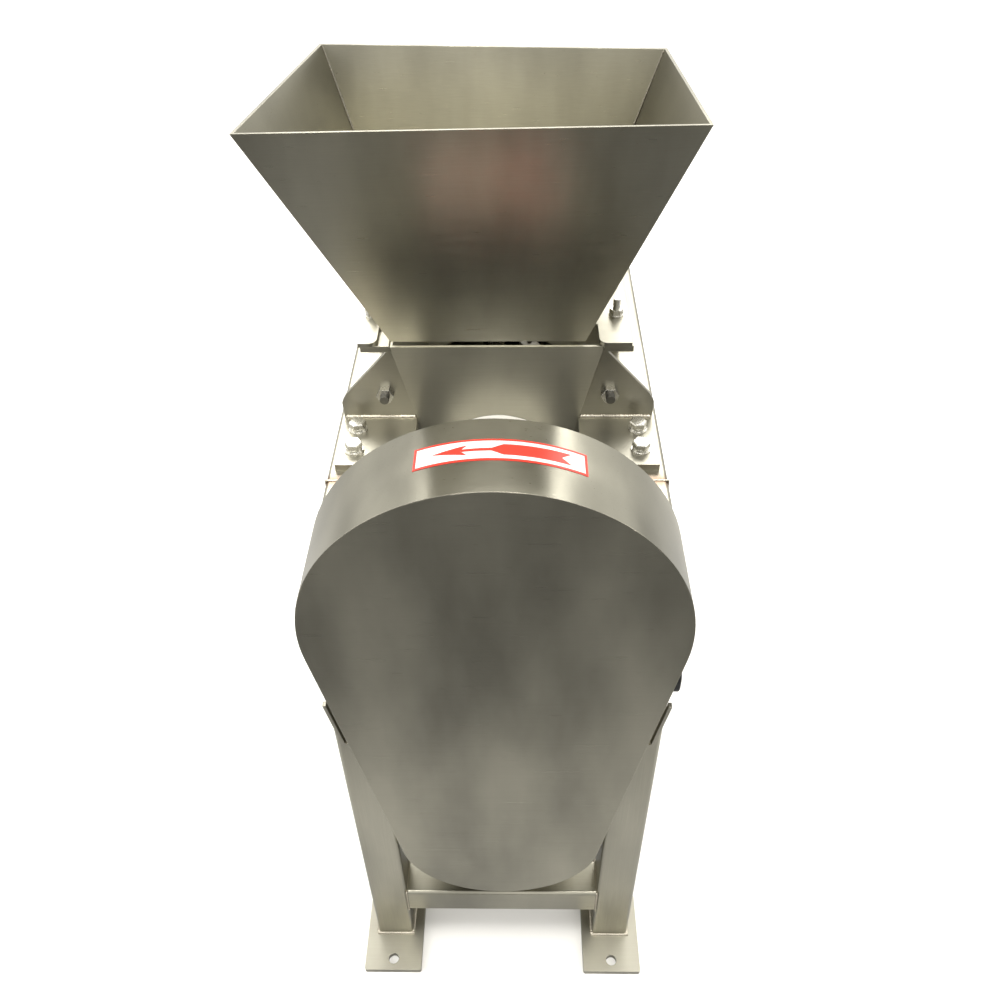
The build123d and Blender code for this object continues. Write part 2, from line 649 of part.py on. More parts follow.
RIM_DEPTH = 24.0
HUB_RADIUS = 36.0
WEB = 10.0
LIGHTENING_HOLES = 6
LIGHTENING_CIRCLE = 68.0
LIGHTENING_RADIUS = 20.0
PULLEY_MIDDLE = PULLEY_FRONT + PULLEY_FACE / 2
GROOVES_Y = (PULLEY_MIDDLE - GROOVE_PITCH / 2, PULLEY_MIDDLE + GROOVE_PITCH / 2)


def pulley(radius, bore, height):
    """A two-groove V-belt pulley. A large one is dished on both faces, down to a thinner web."""
    y0, y1 = PULLEY_FRONT, PULLEY_FRONT + PULLEY_FACE
    body = ring_y(radius, bore, y0, y1, 0, height)
    if HUB_RADIUS < radius - RIM_DEPTH:
        for side in ((y0 - 1, PULLEY_MIDDLE - WEB / 2), (PULLEY_MIDDLE + WEB / 2, y1 + 1)):
            body -= ring_y(radius - RIM_DEPTH, HUB_RADIUS, *side, 0, height)
    for y in GROOVES_Y:
        top, bottom, floor = BELT_WIDTH / 2 + 0.6, BELT_WIDTH / 2 - 2.0, radius - BELT_HEIGHT - 2.5
        groove = Polyline((radius + 1, y - top), (radius + 1, y + top), (floor, y + bottom),
                          (floor, y - bottom), close=True)
        body -= Pos(0, 0, height) * revolve(make_face(groove), Axis.Y)
    return body


def big_pulley():
    """The driven pulley, with round lightening holes in its web."""
    made = pulley(BIG_PULLEY_RADIUS, SHAFT_RADIUS, SHAFT_HEIGHT)
    for k in range(LIGHTENING_HOLES):
        turn = 2 * math.pi / LIGHTENING_HOLES * k
        x, z = LIGHTENING_CIRCLE * math.cos(turn), LIGHTENING_CIRCLE * math.sin(turn)
        made -= cylinder_y(LIGHTENING_RADIUS, PULLEY_FRONT, PULLEY_FRONT + PULLEY_FACE, x, SHAFT_HEIGHT + z)
    return made


def small_pulley():
    return pulley(SMALL_PULLEY_RADIUS, MOTOR_SHAFT_RADIUS, MOTOR_HEIGHT)


def loop(big, small, y0, y1):
    """A solid slab whose outline runs round both pulleys at the given radii."""
    plane = Plane(origin=(0, y1, 0), x_dir=(1, 0, 0), z_dir=(0, -1, 0))
    return extrude(plane * loop_face(big, small), y1 - y0)


def loop_face(big, small):
    """Two arcs, one round each shaft, joined by their outer tangents, as a face in (x, z)."""
    lean = math.asin((big - small) / (SHAFT_HEIGHT - MOTOR_HEIGHT))
    dx, dz = math.cos(lean), -math.sin(lean)
    high_right = (big * dx, SHAFT_HEIGHT + big * dz)
    low_right = (small * dx, MOTOR_HEIGHT + small * dz)
    high_left, low_left = (-high_right[0], high_right[1]), (-low_right[0], low_right[1])
    outline = (
        ThreePointArc(high_right, (0, SHAFT_HEIGHT + big), high_left)
        + Line(high_left, low_left)
        + ThreePointArc(low_left, (0, MOTOR_HEIGHT - small), low_right)
        + Line(low_right, high_right)
    )
    return make_face(outline)


BELT_LAYERS = 3
BELT_TAPER = 2.3


def v_belts():
    """Two wedge belts round both pulleys, narrowing inwards layer by layer, just clear of the grooves."""
    belts = []
    layer = BELT_HEIGHT / BELT_LAYERS
    for y in GROOVES_Y:
        rings = []
        for i in range(BELT_LAYERS):
            half = BELT_WIDTH / 2 - 0.4 - BELT_TAPER * (i + 0.5) / BELT_LAYERS
            outer, inner = layer * i, layer * (i + 1)
            ring = loop(BIG_PULLEY_RADIUS - outer, SMALL_PULLEY_RADIUS - outer, y - half, y + half)
            rings.append(ring - loop(BIG_PULLEY_RADIUS - inner, SMALL_PULLEY_RADIUS - inner, y - 10, y + 10))
        belts.append(rings[0].fuse(*rings[1:]))
    return belts


def belt_guard():
    """A dished sheet cover over the whole belt drive, notched round both front legs."""
    top, bottom = GUARD_TOP_RADIUS, GUARD_BOTTOM_RADIUS
    cover = loop(top, bottom, GUARD_FRONT, GUARD_BACK)
    cover -= loop(top - GUARD_SHEET, bottom - GUARD_SHEET, GUARD_FRONT + GUARD_SHEET, GUARD_BACK + 1)
    for s in (-1, 1):
        x0, x1 = sorted((s * (RAIL_INNER - 3), s * (FRAME_WIDTH / 2 + 3)))
        cover -= block(x0, x1, -1, TUBE + 3, GUARD_NOTCH_BOTTOM, GUARD_NOTCH_TOP)
    return cover


LUG_TOP = 574.0
LUG_BOTTOM = 500.0
LUG_GAP = 4.2
LUG_WIDTH = 3.6


def guard_edge(z, offset):
    """The x of the guard's straight right side at a height, moved outwards by an offset."""
    lean = math.asin((GUARD_TOP_RADIUS - GUARD_BOTTOM_RADIUS) / (SHAFT_HEIGHT - MOTOR_HEIGHT))
    return (GUARD_TOP_RADIUS + offset + (z - SHAFT_HEIGHT) * math.sin(lean)) / math.cos(lean)


def guard_lugs():
    """Strips on the faces of the front legs that keep the guard's sides in line."""
    lugs = []
    for s in (-1, 1):
        outline = [(LUG_TOP, LUG_GAP), (LUG_TOP, LUG_GAP + LUG_WIDTH), (LUG_BOTTOM, LUG_GAP + LUG_WIDTH),
                   (LUG_BOTTOM, 0.2), (LUG_BOTTOM + 4, 0.2), (LUG_BOTTOM + 4, LUG_GAP)]
        points = [(s * guard_edge(z, offset), z) for z, offset in outline]
        lugs.append(plate_xz(points, -6, 0))
    return lugs


def guard_brackets():
    """Spacers that hold the guard off the legs and the crossbar, and the lugs on the leg faces."""
    made = []
    inside = GUARD_TOP_RADIUS - GUARD_SHEET
    for s in (-1, 1):
        x0, x1 = sorted((s * FRAME_WIDTH / 2, s * (inside + 1)))
        pad = block(x0, x1, 12, 38, 664, 700)
        made.append(pad & cylinder_y(inside, 10, 40, 0, SHAFT_HEIGHT))
    foot = block(-20, 20, 8, 42, LOWER_BAR_BOTTOM + TUBE, MOTOR_HEIGHT - GUARD_BOTTOM_RADIUS + 2)
    made.append(foot - cylinder_y(GUARD_BOTTOM_RADIUS, 0, 60, 0, MOTOR_HEIGHT))
    return made + guard_lugs()


LABEL_LEFT = -70.0
LABEL_RIGHT = 84.0
LABEL_FRONT = 33.0
LABEL_BACK = 62.0


def arrow_label():
    """The thin turning-direction label that follows the top of the guard's rim."""
    skin = ring_y(GUARD_TOP_RADIUS + 0.4, GUARD_TOP_RADIUS, LABEL_FRONT, LABEL_BACK, 0, SHAFT_HEIGHT)
    return skin & block(LABEL_LEFT, LABEL_RIGHT, 0, 100, SHAFT_HEIGHT, SHAFT_HEIGHT + 300)


# ---- motor -------------------------------------------------------------------------------------------

MOTOR_FRONT = 110.0
MOTOR_BACK = 318.0
MOTOR_RADIUS = 78.0
SHIELD = 14.0
FIN_COUNT = 24
STATOR_RADIUS = 62.0
CORE_FRONT = 150.0
CORE_BACK = 270.0


def motor_housing():
    """The ribbed barrel on its two feet."""
    barrel = cylinder_y(MOTOR_RADIUS - 8, MOTOR_FRONT + SHIELD, MOTOR_BACK - SHIELD, 0, MOTOR_HEIGHT)
    middle = Pos(0, (MOTOR_FRONT + MOTOR_BACK) / 2, MOTOR_HEIGHT)
    for k in range(FIN_COUNT):
        fin = middle * Rot(0, 360 / FIN_COUNT * (k + 0.5), 0) * Pos(0, 0, MOTOR_RADIUS - 5)
        barrel += fin * Box(2.5, MOTOR_BACK - MOTOR_FRONT - 2 * SHIELD - 6, 10)
    for s in (-1, 1):
        x0, x1 = sorted((s * 45, s * 85))
        foot = block(x0, x1, 158, 308, MOTOR_PLATE_TOP, MOTOR_PLATE_TOP + 12)
        web0, web1 = sorted((s * 45, s * 58))
        foot += block(web0, web1, 165, 300, MOTOR_PLATE_TOP, MOTOR_HEIGHT - 40)
        for y in MOTOR_TUBES_Y:
            foot -= cylinder_z(5, MOTOR_PLATE_TOP - 1, MOTOR_PLATE_TOP + 13, s * 70, y)
        barrel += foot
    return barrel - cylinder_y(STATOR_RADIUS, MOTOR_FRONT, MOTOR_BACK, 0, MOTOR_HEIGHT)


def motor_stator():
    return ring_y(STATOR_RADIUS, 42, CORE_FRONT, CORE_BACK, 0, MOTOR_HEIGHT)


def motor_end_shields():
    """The cast covers at both ends of the barrel, bored for the shaft."""
    shields = []
    for y0, y1 in ((MOTOR_FRONT, MOTOR_FRONT + SHIELD), (MOTOR_BACK - SHIELD, MOTOR_BACK)):
        shield = cylinder_y(MOTOR_RADIUS, y0, y1, 0, MOTOR_HEIGHT)
        shield = fillet(shield.edges().group_by(Axis.Y)[0 if y0 == MOTOR_FRONT else -1], 5)
        shields.append(shield - cylinder_y(MOTOR_SHAFT_RADIUS + RUNNING_GAP, y0 - 1, y1 + 1, 0, MOTOR_HEIGHT))
    return shields


def motor_cowl():
    """The fan cover, slotted at the back."""
    y0, y1 = MOTOR_BACK - 10, MOTOR_BACK + 52
    cowl = cylinder_y(MOTOR_RADIUS + 3, y0, y1, 0, MOTOR_HEIGHT)
    cowl = fillet(cowl.edges().group_by(Axis.Y)[-1], 5)
    cowl -= cylinder_y(MOTOR_RADIUS + 0.5, y0 - 1, y1 - 3, 0, MOTOR_HEIGHT)
    for ring in (24, 38, 52):
        for k in range(6):
            turn = math.radians(60 * k + (30 if ring == 38 else 0))
            cowl -= cylinder_y(6, y1 - 6, y1 + 1, ring * math.cos(turn), MOTOR_HEIGHT + ring * math.sin(turn))
    return cowl


def motor_terminal_box():
    base = MOTOR_HEIGHT + MOTOR_RADIUS - 4
    box = block(-46, 46, 165, 255, base, base + 46)
    box = fillet(box.edges().filter_by(Axis.Z) + box.edges().group_by(Axis.Z)[-1], 6)
    box -= block(-41, 41, 170, 250, base + 12, base + 41)
    box -= cylinder_y(MOTOR_RADIUS + 0.2, MOTOR_FRONT, MOTOR_BACK, 0, MOTOR_HEIGHT)
    gland = cylinder_x(9, 45, 62, 210, base + 26)
    return box + gland - cylinder_x(5, 38, 63, 210, base + 26)


def motor_shaft():
    """The motor's rotor: shaft and core."""
    shaft = cylinder_y(MOTOR_SHAFT_RADIUS, 58, MOTOR_BACK + 42, 0, MOTOR_HEIGHT)
    return shaft + cylinder_y(41.5, CORE_FRONT, CORE_BACK, 0, MOTOR_HEIGHT)


def motor_fan():
    y0, y1 = MOTOR_BACK + 12, MOTOR_BACK + 40
    fan = cylinder_y(24, y0, y1, 0, MOTOR_HEIGHT)
    for k in range(8):
        fan += Pos(0, (y0 + y1) / 2, MOTOR_HEIGHT) * Rot(0, 45 * k, 0) * Pos(0, 0, 42) * Box(2.5, y1 - y0, 44)
    return fan - cylinder_y(MOTOR_SHAFT_RADIUS, y0 - 1, y1 + 1, 0, MOTOR_HEIGHT)


def motor_plate():
    plate = block(-105, 105, 150, 315, MOTOR_PLATE_BOTTOM, MOTOR_PLATE_TOP)
    for x in MOTOR_BOLTS_X:
        for y in MOTOR_TUBES_Y:
            plate -= cylinder_z(5, MOTOR_PLATE_BOTTOM - 1, MOTOR_PLATE_TOP + 1, x, y)
    return plate


def motor_bolts():
    bolts = []
    for x in MOTOR_BOLTS_X:
        for y in MOTOR_TUBES_Y:
            head = hexagon_z(13, MOTOR_PLATE_TOP + 12, MOTOR_PLATE_TOP + 18, x, y)
            bolts.append(head + cylinder_z(4, MOTOR_PLATE_BOTTOM - 8, MOTOR_PLATE_TOP + 12, x, y))
    return bolts


# ---- switch on the right front leg -------------------------------------------------------------------

SWITCH_FACE = FRAME_WIDTH / 2
SWITCH_Z = 594.0
SWITCH_DEPTH = 12.0
BUTTON_OFFSET = 9.7
BUTTON_RADIUS = 7.2


def switch_box():
    """A flush switch: a rounded cover on the leg with two button wells."""
    x = SWITCH_FACE
    flat = Plane(origin=(x, 0, 0), x_dir=(0, 1, 0), z_dir=(1, 0, 0)) * Pos(TUBE / 2, SWITCH_Z)
    body = extrude(flat * RectangleRounded(38, 40, 16), SWITCH_DEPTH)
    body = fillet(body.edges().group_by(Axis.X)[-1], 2.5)
    for dz in (-BUTTON_OFFSET, BUTTON_OFFSET):
        body -= cylinder_x(BUTTON_RADIUS + 0.4, x + 4, x + SWITCH_DEPTH + 1, TUBE / 2, SWITCH_Z + dz)
    return body


def button(dz):
    x = SWITCH_FACE
    cap = cylinder_x(BUTTON_RADIUS, x + 8, x + SWITCH_DEPTH + 1.5, TUBE / 2, SWITCH_Z + dz)
    return fillet(cap.edges().group_by(Axis.X)[-1], 1.2)


# ---- writing the files -------------------------------------------------------------------------------

def all_parts():
    parts = {}
    parts.update(legs())
    parts.update(rails())
    parts.update(hopper_feet())
    for make in (motor_cross_tubes, foot_plates, hopper, throat, throat_flange, hopper_bolts, hopper_nuts,
                 front_end_plate, rear_end_plate, front_foot_plate, rear_foot_plates, frame_bolts,
                 frame_washers, tie_rods, tie_rod_nuts, drum_cage, drum_trough, drum_cover, drum_bridge,
                 rear_wall, must_chute, stem_chute, main_shaft, crushing_rotor, destemming_paddles,
                 front_bearing_housing, front_seal, rear_bearing_housing, big_pulley, small_pulley, v_belts,
                 belt_guard, guard_brackets, arrow_label, motor_housing, motor_stator, motor_end_shields,
                 motor_cowl, motor_terminal_box, motor_shaft, motor_fan, motor_plate, motor_bolts,
                 switch_box):
        parts[make.__name__] = make()
    parts["front_bearing"] = ball_bearing(FRONT_BEARING)
    parts["rear_bearing"] = ball_bearing(REAR_BEARING)
    parts["start_button"] = button(BUTTON_OFFSET)
    parts["stop_button"] = button(-BUTTON_OFFSET)
    return parts


def solids_of(shape):
    """Every solid in a shape or a list of shapes."""
    if isinstance(shape, (list, tuple)):
        return [s for item in shape for s in solids_of(item)]
    return list(shape.solids())


os.makedirs("parts", exist_ok=True)
to_origin = Pos(0, -FRAME_LENGTH / 2, 0)
for name, shape in all_parts().items():
    placed = [to_origin * solid for solid in solids_of(shape)]
    whole = placed[0] if len(placed) == 1 else Compound(children=placed)
    export_step(whole, f"parts/{name}.step")
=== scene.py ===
"""Looks of a grape crusher destemmer: brushed stainless steel, welds, threads, belts and a turning-direction
label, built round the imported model. Every piece is in metres in the model's own frame, with z up and the belt
guard towards -y."""

import json
import math
import random

import bmesh
import bpy
from bpy.props import FloatProperty, FloatVectorProperty, PointerProperty
from mathutils import Matrix, Vector


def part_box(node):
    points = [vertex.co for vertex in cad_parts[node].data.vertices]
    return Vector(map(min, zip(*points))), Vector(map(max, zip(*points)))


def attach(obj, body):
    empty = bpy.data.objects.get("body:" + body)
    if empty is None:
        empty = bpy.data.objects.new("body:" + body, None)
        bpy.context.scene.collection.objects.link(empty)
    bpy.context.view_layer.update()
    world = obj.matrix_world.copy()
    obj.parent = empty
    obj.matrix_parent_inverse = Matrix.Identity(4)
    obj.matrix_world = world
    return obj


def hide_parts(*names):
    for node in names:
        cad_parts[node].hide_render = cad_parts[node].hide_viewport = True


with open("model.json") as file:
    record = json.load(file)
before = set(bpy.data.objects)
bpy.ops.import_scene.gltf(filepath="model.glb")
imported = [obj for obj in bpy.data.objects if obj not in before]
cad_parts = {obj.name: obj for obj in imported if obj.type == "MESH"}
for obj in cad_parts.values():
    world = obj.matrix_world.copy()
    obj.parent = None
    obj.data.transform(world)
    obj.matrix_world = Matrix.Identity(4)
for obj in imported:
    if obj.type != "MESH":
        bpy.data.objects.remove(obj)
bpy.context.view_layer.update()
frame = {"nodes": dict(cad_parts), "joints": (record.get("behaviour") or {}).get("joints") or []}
NODES = frame["nodes"]

bl_info = {
    "name": "Grape Crusher Destemmer",
    "version": (1, 0, 0),
    "blender": (4, 5, 0),
    "location": "View3D > Sidebar > Destemmer",
    "description": "Finishes and fine pieces of a stainless grape crusher destemmer",
    "category": "Object",
}

MM = 0.001

# Weld beads as shares of the main fillet's radius: tube butted to tube, tube to crossbar, motor tube to rail.
BUTT_SHARE = 0.4
CROSSBAR_SHARE = 0.5
SPLICE_SHARE = 0.45
MOTOR_TUBE_SHARE = 0.8

# Where the upper rails are spliced, from their front ends, and how far the weld's heat tint reaches.
SPLICE_FROM_FRONT = 105 * MM
TINT_REACH = 14 * MM

# Where the weld under an end plate starts, from the middle, and how far a hopper seam lies in from its
# corner.
PLATE_WELD_START = 92 * MM
SEAM_INSET = 4.2 * MM

# The arrow label's width in the units of its outline, and a V-belt's depth and its two half widths.
LABEL_UNITS = 154
BELT_DEPTH = 8 * MM
BELT_HALF_WIDTHS = (5.8 * MM, 4.1 * MM)

# Brush marks are this many times as long as they are apart, and patches stand higher than they are wide:
# besides random tone, these tall patches are painted reflection streaks.
MARK_LENGTH = 70
PATCH_SHAPE = (1.6, 0.8, 0.55)


def joint_height(name):
    """How high a joint's axis lies."""
    return next(j["pos_m"][2] for j in frame["joints"] if j["name"] == name)


ROTOR_HEIGHT = joint_height("rotor_spin")
MOTOR_HEIGHT = joint_height("motor_spin")
GUARD_LOW, GUARD_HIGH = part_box("belt_guard")
GUARD_TOP_RADIUS = GUARD_HIGH.z - ROTOR_HEIGHT
GUARD_BOTTOM_RADIUS = MOTOR_HEIGHT - GUARD_LOW.z


def linear(hex_colour):
    """An sRGB hex colour as the linear RGB that shaders work in."""
    parts = [int(hex_colour[i:i + 2], 16) / 255 for i in (1, 3, 5)]
    return tuple(c / 12.92 if c <= 0.04045 else ((c + 0.055) / 1.055) ** 2.4 for c in parts)


def shade(hex_colour, description):
    """A colour setting with its default."""
    return FloatVectorProperty(name=description.split(",")[0], description=description, subtype="COLOR",
                               default=linear(hex_colour), min=0.0, max=1.0)


def length(mm, name, description):
    """A length setting with its default in millimetres."""
    return FloatProperty(name=name, description=description, default=mm * MM, unit="LENGTH", min=0.0)


class DestemmerColours(bpy.types.PropertyGroup):
    """Colours of the finishes."""

    sheet: shade("#A19E90", "Sheet, brushed 304 stainless sheet")
    tube: shade("#A8A597", "Tube, brushed 304 stainless tube")
    plate: shade("#AAA79A", "Plate, 304 stainless plate with a mill finish")
    bolt: shade("#C9C7BF", "Bolts, A2 stainless fasteners")
    turned: shade("#B7B4A9", "Turned parts, lathe-turned stainless")
    casting: shade("#ECEAE2", "Casting, bead-blasted stainless of the front housing")
    weld: shade("#BDB7A8", "Welds, brushed TIG weld bead")
    tint: shade("#6E4526", "Heat tint, the brown oxide beside a weld")
    label_red: shade("#D93A2C", "Label red, screen-printed ink")
    label_white: shade("#F4DAD8", "Label white, vinyl film")
    enamel: shade("#2F4A5C", "Enamel, machine enamel on the motor")
    iron: shade("#4A4A48", "Cast iron, machined grey iron of the pulleys")
    belt: shade("#1B1B1A", "Belt, chloroprene of the V-belts")
    black: shade("#1C1C1D", "Black plastic, glass-filled nylon")
    green: shade("#1F7A3A", "Green button, moulded ABS")
    red: shade("#B3201C", "Red button, moulded ABS")
    floor: shade("#F4F3F0", "Floor, matt studio floor")


class DestemmerSizes(bpy.types.PropertyGroup):
    """Sizes of the fine pieces."""

    grain: length(1.1, "Grain", "Distance between brush marks, coarser than the real 0.2 mm so that it shows")
    patch: length(150, "Patch", "Width of the soft lighter and darker patches in the sheet")
    bead: length(3.0, "Weld bead", "Radius of the fillet welds on the frame")
    seam: length(1.3, "Seam weld", "Radius of the thin corner welds on sheet")
    ripple: length(2.6, "Weld ripple", "Distance between the ripples of a bead")
    m8_pitch: length(1.25, "M8 pitch", "Thread pitch of the M8 bolts")
    m10_pitch: length(1.5, "M10 pitch", "Thread pitch of the M10 studs")
    label_border: length(2.6, "Label border", "Width of the label's red border")
    edge: length(0.7, "Edge", "Radius of the broken edges on plate and tube")


def colours():
    """The panel's colours."""
    return bpy.context.scene.destemmer_colours


def sizes():
    """The panel's lengths, in metres."""
    return bpy.context.scene.destemmer_sizes


# ---- shader helpers ----------------------------------------------------------------------------------

def add(tree, kind, links=None, values=None, **settings):
    """Adds a shader node with its properties, the constants on its sockets and the links into them."""
    made = tree.nodes.new(kind)
    for name, value in settings.items():
        setattr(made, name, value)
    for socket, value in (values or {}).items():
        made.inputs[socket].default_value = value
    for socket, source in (links or {}).items():
        tree.links.new(source, made.inputs[socket])
    return made


def blank(name):
    """An empty material with its output node."""
    made = bpy.data.materials.new(name)
    made.use_nodes = True
    made.node_tree.nodes.clear()
    return made, made.node_tree, made.node_tree.nodes.new("ShaderNodeOutputMaterial")


def toned(rgb, factor):
    """A colour made lighter or darker, with its alpha."""
    return tuple(min(1.0, c * factor) for c in rgb) + (1.0,)


def heat_tint(tree, place, colour, y, reach):
    """Browns a colour in a band round a weld at y."""
    away = add(tree, "ShaderNodeSeparateXYZ", {"Vector": place}).outputs["Y"]
    offset = add(tree, "ShaderNodeMath", {0: away}, {1: y}, operation="SUBTRACT")
    distance = add(tree, "ShaderNodeMath", {0: offset.outputs[0]}, operation="ABSOLUTE")
    band = add(tree, "ShaderNodeMapRange", {"Value": distance.outputs[0]},
               {"From Max": reach, "To Min": 0.75, "To Max": 0.0})
    tinted = add(tree, "ShaderNodeMix", {"Factor": band.outputs[0], 6: colour},
                 {7: tuple(colours().tint) + (1,)}, data_type="RGBA")
    return tinted.outputs[2]


def steel(name, rgb, grain="x", roughness=0.3, patches=0.22, marks=0.5, anisotropic=0.55, tint_at=None):
    """Stainless steel with brush marks along one axis, soft lighter and darker patches that are partly random
    tone and partly painted reflection streaks, and edges that catch the light.
    tint_at is a (y, reach) band where a weld has left its brown oxide."""
    made, tree, output = blank(name)
    spacing, patch = sizes().grain, sizes().patch
    scale = [1 / spacing] * 3
    scale["xyz".index(grain)] = 1 / (MARK_LENGTH * spacing)
    place = add(tree, "ShaderNodeTexCoord").outputs["Object"]
    stretched = add(tree, "ShaderNodeMapping", {"Vector": place}, {"Scale": scale})
    brush = add(tree, "ShaderNodeTexNoise", {"Vector": stretched.outputs[0]}, {"Scale": 1.0, "Detail": 3.0})
    marking = brush.outputs["Fac"]
    # Painted reflection: soft tall patches lighten and darken the colour like upright reflection streaks, over
    # random tone.
    drawn = add(tree, "ShaderNodeMapping", {"Vector": place}, {"Scale": [f / patch for f in PATCH_SHAPE]})
    cloud = add(tree, "ShaderNodeTexNoise", {"Vector": drawn.outputs[0]},
                {"Scale": 1.0, "Detail": 4.0, "Roughness": 0.45})
    spread = add(tree, "ShaderNodeMapRange", {"Value": cloud.outputs["Fac"]},
                 {"From Min": 0.32, "From Max": 0.68})
    body = add(tree, "ShaderNodeMix", {"Factor": spread.outputs[0]},
               {6: toned(rgb, 1 - patches), 7: toned(rgb, 1 + patches)}, data_type="RGBA")
    marked = add(tree, "ShaderNodeMix", {"Factor": marking, 6: body.outputs[2]},
                 {7: (1 - 0.3 * marks,) * 3 + (1,)}, data_type="RGBA", blend_type="MULTIPLY")
    colour = marked.outputs[2]
    if tint_at:
        colour = heat_tint(tree, place, colour, *tint_at)
    gloss = add(tree, "ShaderNodeMapRange", {"Value": marking},
                {"To Min": roughness - 0.07, "To Max": roughness + 0.09})
    rounded = add(tree, "ShaderNodeBevel", values={"Radius": sizes().edge}, samples=4)
    relief = add(tree, "ShaderNodeBump", {"Height": marking, "Normal": rounded.outputs[0]},
                 {"Strength": 0.35 * marks, "Distance": 0.05 * MM})
    around = add(tree, "ShaderNodeTangent", direction_type="RADIAL", axis="Z")
    # Level marks spread a highlight upright, which needs the tangent turned by a quarter.
    surface = add(tree, "ShaderNodeBsdfPrincipled", {
        "Base Color": colour, "Roughness": gloss.outputs[0], "Normal": relief.outputs[0],
        "Tangent": around.outputs[0]}, {
        "Metallic": 1.0, "Anisotropic": anisotropic, "Anisotropic Rotation": 0.25 if grain == "x" else 0.0})
    tree.links.new(surface.outputs[0], output.inputs["Surface"])
    return made


def coat(name, rgb, roughness, metallic=0.0, mottling=0.06, grit_mm=1.5, relief_mm=0.02, clear=0.0):
    """A paint, plastic, rubber, film or cast surface: slight mottling and a fine relief."""
    made, tree, output = blank(name)
    place = add(tree, "ShaderNodeTexCoord").outputs["Object"]
    grit = add(tree, "ShaderNodeTexNoise", {"Vector": place}, {"Scale": 1 / (grit_mm * MM), "Detail": 2.0})
    wide = add(tree, "ShaderNodeTexNoise", {"Vector": place}, {"Scale": 25.0, "Detail": 3.0})
    body = add(tree, "ShaderNodeMix", {"Factor": wide.outputs["Fac"]},
               {6: toned(rgb, 1 - mottling), 7: toned(rgb, 1 + mottling)}, data_type="RGBA")
    gloss = add(tree, "ShaderNodeMapRange", {"Value": grit.outputs["Fac"]},
                {"To Min": max(0.03, roughness - 0.05), "To Max": min(1.0, roughness + 0.05)})
    relief = add(tree, "ShaderNodeBump", {"Height": grit.outputs["Fac"]},
                 {"Strength": 0.5, "Distance": relief_mm * MM})
    surface = add(tree, "ShaderNodeBsdfPrincipled", {
        "Base Color": body.outputs[2], "Roughness": gloss.outputs[0], "Normal": relief.outputs[0]}, {
        "Metallic": metallic, "Coat Weight": clear})
    tree.links.new(surface.outputs[0], output.inputs["Surface"])
    return made


def finish_nodes(names, made):
    """Gives CAD nodes a material in place of their plain one."""
    for name in names:
        slots = NODES[name].data.materials
        slots.clear()
        slots.append(made)


# ---- mesh helpers ------------------------------------------------------------------------------------

def piece(name, bm, made, body="frame", smooth=True):
    """Turns a bmesh into a piece that rides on a body."""
    bmesh.ops.recalc_face_normals(bm, faces=bm.faces[:])
    mesh = bpy.data.meshes.new(name)
    bm.to_mesh(mesh)
    bm.free()
    for face in mesh.polygons:
        face.use_smooth = smooth
    mesh.materials.append(made)
    made_piece = bpy.data.objects.new(name, mesh)
    bpy.context.scene.collection.objects.link(made_piece)
    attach(made_piece, body)
    return made_piece


def skin(bm, rings, closed):
    """Joins rings of points into a tube, closed on itself or capped at both ends."""
    layers = [[bm.verts.new(p) for p in ring] for ring in rings]
    count = len(layers[0])
    pairs = list(zip(layers, layers[1:]))
    if closed:
        pairs.append((layers[-1], layers[0]))
    for low, high in pairs:
        for k in range(count):
            bm.faces.new((low[k], low[(k + 1) % count], high[(k + 1) % count], high[k]))
    if not closed:
        bm.faces.new(layers[0][::-1])
        bm.faces.new(layers[-1])


def tube(bm, path, radii, sides=8, closed=False):
    """Sweeps a circle of changing radius along a path of points."""
    rings = []
    count = len(path)
    for i, point in enumerate(path):
        before = path[i - 1] if i or closed else path[0]
        after = path[(i + 1) % count] if i < count - 1 or closed else path[-1]
        way = (after - before).normalized()
        side = way.cross(Vector((0.31, 0.47, 0.83))).normalized()
        up = side.cross(way)
        rings.append([point + radii[i] * (math.cos(a) * side + math.sin(a) * up)
                      for a in (2 * math.pi * k / sides for k in range(sides))])
    skin(bm, rings, closed)


def stepped(corners, step, closed=False):
    """Points a short step apart along straight runs between corners."""
    runs = list(zip(corners, corners[1:]))
    if closed:
        runs.append((corners[-1], corners[0]))
    path = []
    for start, end in runs:
        count = max(1, round((end - start).length / step))
        path += [start.lerp(end, k / count) for k in range(count)]
    return path if closed else path + [corners[-1]]


def bead(bm, corners, radius, rng, closed=False):
    """A rippled weld bead along straight runs."""
    step = sizes().ripple / 3
    path = stepped(corners, step, closed)
    radii = []
    for k in range(len(path)):
        ripple = (0.82, 1.0, 0.93)[k % 3]
        radii.append(radius * ripple * (1 + rng.uniform(-0.08, 0.08)))
    path = [p + Vector([rng.uniform(-0.08, 0.08) * radius for _ in range(3)]) for p in path]
    tube(bm, path, radii, 8, closed)


def square_y(x0, x1, y, z0, z1):
    """The corners of an upright rectangle across the machine."""
    return [Vector((x0, y, z0)), Vector((x1, y, z0)), Vector((x1, y, z1)), Vector((x0, y, z1))]


def extreme(name, direction):
    """The vertex of a CAD node that lies farthest along a direction."""
    way = Vector(direction)
    return max((v.co for v in NODES[name].data.vertices), key=way.dot).copy()


def solid_boxes(name):
    """The low and high corner of each separate solid of a CAD node, in order."""
    bm = bmesh.new()
    bm.from_mesh(NODES[name].data)
    bmesh.ops.remove_doubles(bm, verts=bm.verts[:], dist=1e-6)
    left, found = set(bm.verts), []
    while left:
        group, edge = set(), [left.pop()]
        while edge:
            vert = edge.pop()
            group.add(vert)
            for other in (e.other_vert(vert) for e in vert.link_edges):
                if other in left:
                    left.discard(other)
                    edge.append(other)
        low = Vector([min(v.co[i] for v in group) for i in range(3)])
        high = Vector([max(v.co[i] for v in group) for i in range(3)])
        found.append((low, high))
    bm.free()
    return sorted(found, key=lambda pair: tuple(round(c, 4) for c in pair[0]))


